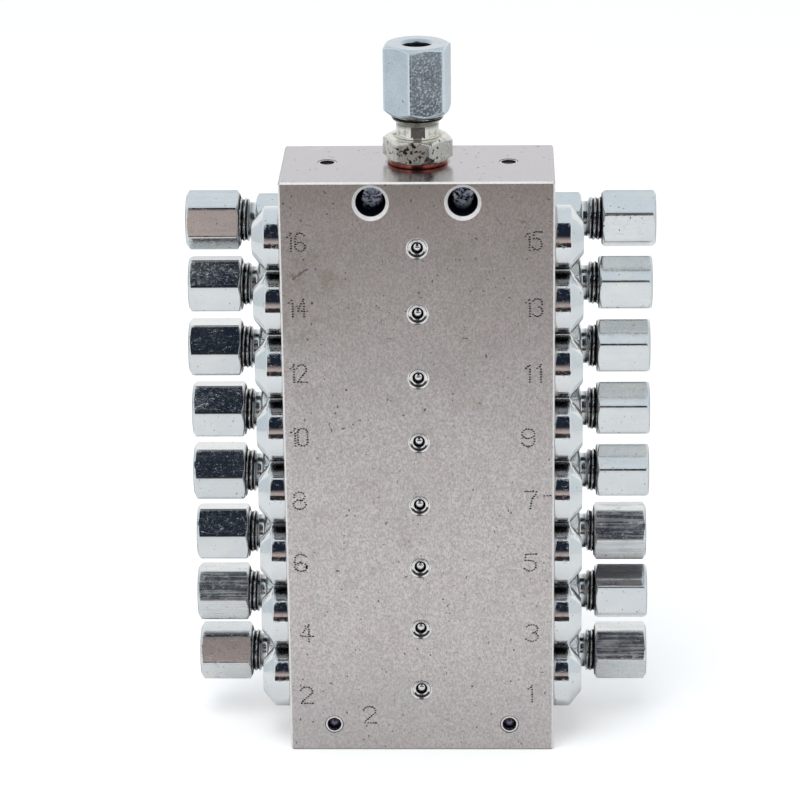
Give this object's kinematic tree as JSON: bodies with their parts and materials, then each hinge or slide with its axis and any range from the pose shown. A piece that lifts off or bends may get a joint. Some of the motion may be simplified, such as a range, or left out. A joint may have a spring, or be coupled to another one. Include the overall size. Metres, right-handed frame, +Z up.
{
  "type": "lubricant divider block",
  "caption": "Upright steel progressive divider block: sliding spools inside share lubricant out to rows of tube fittings on both sides; feed fitting on top.",
  "frame": {"origin": "middle of the block's bottom face", "axes": "+X across the block to the odd outlets, front face with the numbers towards -Y, +Z up to the inlet"},
  "size_m": [0.1049, 0.03, 0.1618],
  "materials": {
    "block_steel": "ground steel, satin, with fine specks",
    "spool_steel": "hardened and lapped",
    "plug_zinc": "turned steel, bright zinc plated",
    "fitting_zinc": "steel, bright zinc plated",
    "inlet_zinc": "steel, yellowish zinc plating with dark stains",
    "ring_steel": "bare steel",
    "ball_steel": "polished ball steel",
    "ball_dark": "blackened ball steel",
    "copper": "bare copper"
  },
  "bodies": {
    "block": {"valve_block": "block_steel", "closing_plugs_left": "plug_zinc", "closing_plugs_right": "plug_zinc", "front_balls": "ball_steel", "lower_balls": "ball_dark", "top_balls": "ball_dark", "outlet_body_1": "fitting_zinc", "outlet_nut_1": "fitting_zinc", "outlet_body_2": "fitting_zinc", "outlet_nut_2": "fitting_zinc", "outlet_body_3": "fitting_zinc", "outlet_nut_3": "fitting_zinc", "outlet_body_4": "fitting_zinc", "outlet_nut_4": "fitting_zinc", "outlet_body_5": "fitting_zinc", "outlet_nut_5": "fitting_zinc", "outlet_body_6": "fitting_zinc", "outlet_nut_6": "fitting_zinc", "outlet_body_7": "fitting_zinc", "outlet_nut_7": "fitting_zinc", "outlet_body_8": "fitting_zinc", "outlet_nut_8": "fitting_zinc", "outlet_body_9": "fitting_zinc", "outlet_nut_9": "fitting_zinc", "outlet_body_10": "fitting_zinc", "outlet_nut_10": "fitting_zinc", "outlet_body_11": "fitting_zinc", "outlet_nut_11": "fitting_zinc", "outlet_body_12": "fitting_zinc", "outlet_nut_12": "fitting_zinc", "outlet_body_13": "fitting_zinc", "outlet_nut_13": "fitting_zinc", "outlet_body_14": "fitting_zinc", "outlet_nut_14": "fitting_zinc", "outlet_body_15": "fitting_zinc", "outlet_nut_15": "fitting_zinc", "outlet_body_16": "fitting_zinc", "outlet_nut_16": "fitting_zinc", "cutting_rings_left": "ring_steel", "cutting_rings_right": "ring_steel", "inlet_cutting_ring": "ring_steel", "inlet_washer": "copper", "inlet_body": "inlet_zinc", "inlet_nut": "fitting_zinc"},
    "spool_1": {"spool_1": "spool_steel"},
    "spool_2": {"spool_2": "spool_steel"},
    "spool_3": {"spool_3": "spool_steel"},
    "spool_4": {"spool_4": "spool_steel"},
    "spool_5": {"spool_5": "spool_steel"},
    "spool_6": {"spool_6": "spool_steel"},
    "spool_7": {"spool_7": "spool_steel"},
    "spool_8": {"spool_8": "spool_steel"}
  },
  "joints": [
    {"name": "spool_1_slide", "type": "slide", "parent": "block", "child": "spool_1", "axis": [1, 0, 0], "range_m": [0, 0.007]},
    {"name": "spool_2_slide", "type": "slide", "parent": "block", "child": "spool_2", "axis": [-1, 0, 0], "range_m": [0, 0.007]},
    {"name": "spool_3_slide", "type": "slide", "parent": "block", "child": "spool_3", "axis": [1, 0, 0], "range_m": [0, 0.007]},
    {"name": "spool_4_slide", "type": "slide", "parent": "block", "child": "spool_4", "axis": [-1, 0, 0], "range_m": [0, 0.007]},
    {"name": "spool_5_slide", "type": "slide", "parent": "block", "child": "spool_5", "axis": [1, 0, 0], "range_m": [0, 0.007]},
    {"name": "spool_6_slide", "type": "slide", "parent": "block", "child": "spool_6", "axis": [-1, 0, 0], "range_m": [0, 0.007]},
    {"name": "spool_7_slide", "type": "slide", "parent": "block", "child": "spool_7", "axis": [1, 0, 0], "range_m": [0, 0.007]},
    {"name": "spool_8_slide", "type": "slide", "parent": "block", "child": "spool_8", "axis": [-1, 0, 0], "range_m": [0, 0.007]}
  ]
}
